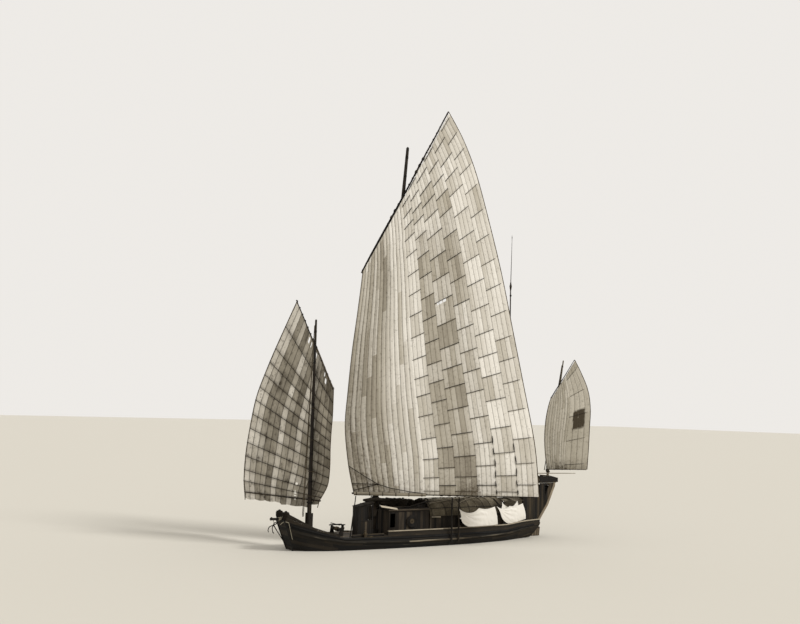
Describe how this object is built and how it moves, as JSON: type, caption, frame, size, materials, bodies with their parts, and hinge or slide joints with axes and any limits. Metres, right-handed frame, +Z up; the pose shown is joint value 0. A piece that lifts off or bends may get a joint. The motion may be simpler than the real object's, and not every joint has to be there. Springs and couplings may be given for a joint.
{
  "type": "chinese river cargo junk",
  "caption": "Full-size wooden river junk with tall battened lugsails, a mat-roofed deckhouse, a raked stern gallery and a hung rudder, afloat.",
  "frame": {"origin": "on the centreline amidships, in the plane of the water", "axes": "+X runs aft, -X is the bow, -Y is the port side, +Z is up"},
  "size_m": [26.5013, 12.0959, 32.2696],
  "materials": {
    "hull_wood": "weathered dark oiled planks",
    "trim_wood": "pale bare wood",
    "spar_wood": "dark weathered spar timber",
    "house_wood": "grey-brown sun-bleached planks",
    "rudder_wood": "pale brown worn planks",
    "mat": "woven bamboo matting",
    "sail": "old patched cotton cloth",
    "batten_wood": "split bamboo and rope",
    "white_cloth": "white cotton cloth",
    "rope": "coiled hemp rope and gear",
    "iron": "rusted wrought iron"
  },
  "bodies": {
    "vessel": {"hull": "hull_wood", "stern_counter": "hull_wood", "bow_bulwark_port": "hull_wood", "bow_bulwark_starboard": "hull_wood", "waist_bulwark_port": "hull_wood", "waist_bulwark_starboard": "hull_wood", "bow_post_port": "hull_wood", "bow_post_starboard": "hull_wood", "cap_rail_port": "trim_wood", "cap_rail_starboard": "trim_wood", "spare_poles": "trim_wood", "bow_beam": "spar_wood", "foremast": "spar_wood", "mainmast": "spar_wood", "mizzen_mast": "spar_wood", "vane_mast": "spar_wood", "foremast_tabernacle": "spar_wood", "mainmast_partners": "spar_wood", "windlass_cheeks": "spar_wood", "rudder_beam": "spar_wood", "side_post_fore": "spar_wood", "side_post_aft": "spar_wood", "shelter_pole": "spar_wood", "upper_wale_port": "spar_wood", "upper_wale_starboard": "spar_wood", "lower_wale_port": "spar_wood", "lower_wale_starboard": "spar_wood", "mooring_bitt_port": "spar_wood", "mooring_bitt_starboard": "spar_wood", "house_walls": "house_wood", "house_roof": "house_wood", "mat_house_walls": "house_wood", "fore_shelter_frame": "house_wood", "fore_shelter_roof": "house_wood", "steering_roof": "house_wood", "stern_gallery": "house_wood", "stern_wing_port": "rudder_wood", "stern_wing_starboard": "rudder_wood", "mat_roof": "mat", "hung_cloth_fore": "white_cloth", "hung_cloth_aft": "white_cloth", "roof_gear_heap": "rope", "anchor": "iron"},
    "foresail": {"fore_sail": "sail", "fore_yard": "spar_wood", "fore_boom": "spar_wood", "fore_battens": "batten_wood"},
    "mainsail": {"main_sail": "sail", "main_yard": "spar_wood", "main_boom": "spar_wood", "main_battens": "batten_wood"},
    "mizzen": {"mizzen_sail": "sail", "mizzen_yard": "spar_wood", "mizzen_boom": "spar_wood", "mizzen_battens": "batten_wood"},
    "rudder_set": {"rudder": "rudder_wood", "tiller": "trim_wood"},
    "windlass": {"windlass_drum": "spar_wood"},
    "door": {"house_door": "house_wood"}
  },
  "joints": [
    {"name": "foresail_swing", "type": "hinge", "parent": "vessel", "child": "foresail", "pos_m": [-8.1, 0, 0], "axis": [0, 0, -1], "range_deg": [-8, 70]},
    {"name": "mainsail_swing", "type": "hinge", "parent": "vessel", "child": "mainsail", "pos_m": [-3.3, 0, 0], "axis": [0.075, 0, 0.9972], "range_deg": [-47, 103]},
    {"name": "mizzen_swing", "type": "hinge", "parent": "vessel", "child": "mizzen", "pos_m": [11.6, 0, 0], "axis": [0.165, 0, 0.9863], "range_deg": [-50, 100]},
    {"name": "rudder_turn", "type": "hinge", "parent": "vessel", "child": "rudder_set", "pos_m": [10.85, 0, 0], "axis": [0.1045, 0, 0.9945], "range_deg": [-38, 38]},
    {"name": "windlass_spin", "type": "hinge", "parent": "vessel", "child": "windlass", "pos_m": [-6.02, 0, 1.23], "axis": [0, 1, 0], "continuous": true},
    {"name": "door_swing", "type": "hinge", "parent": "vessel", "child": "door", "pos_m": [-2.675, 0.9, 1.55], "axis": [0, 0, -1], "range_deg": [0, 100]}
  ]
}
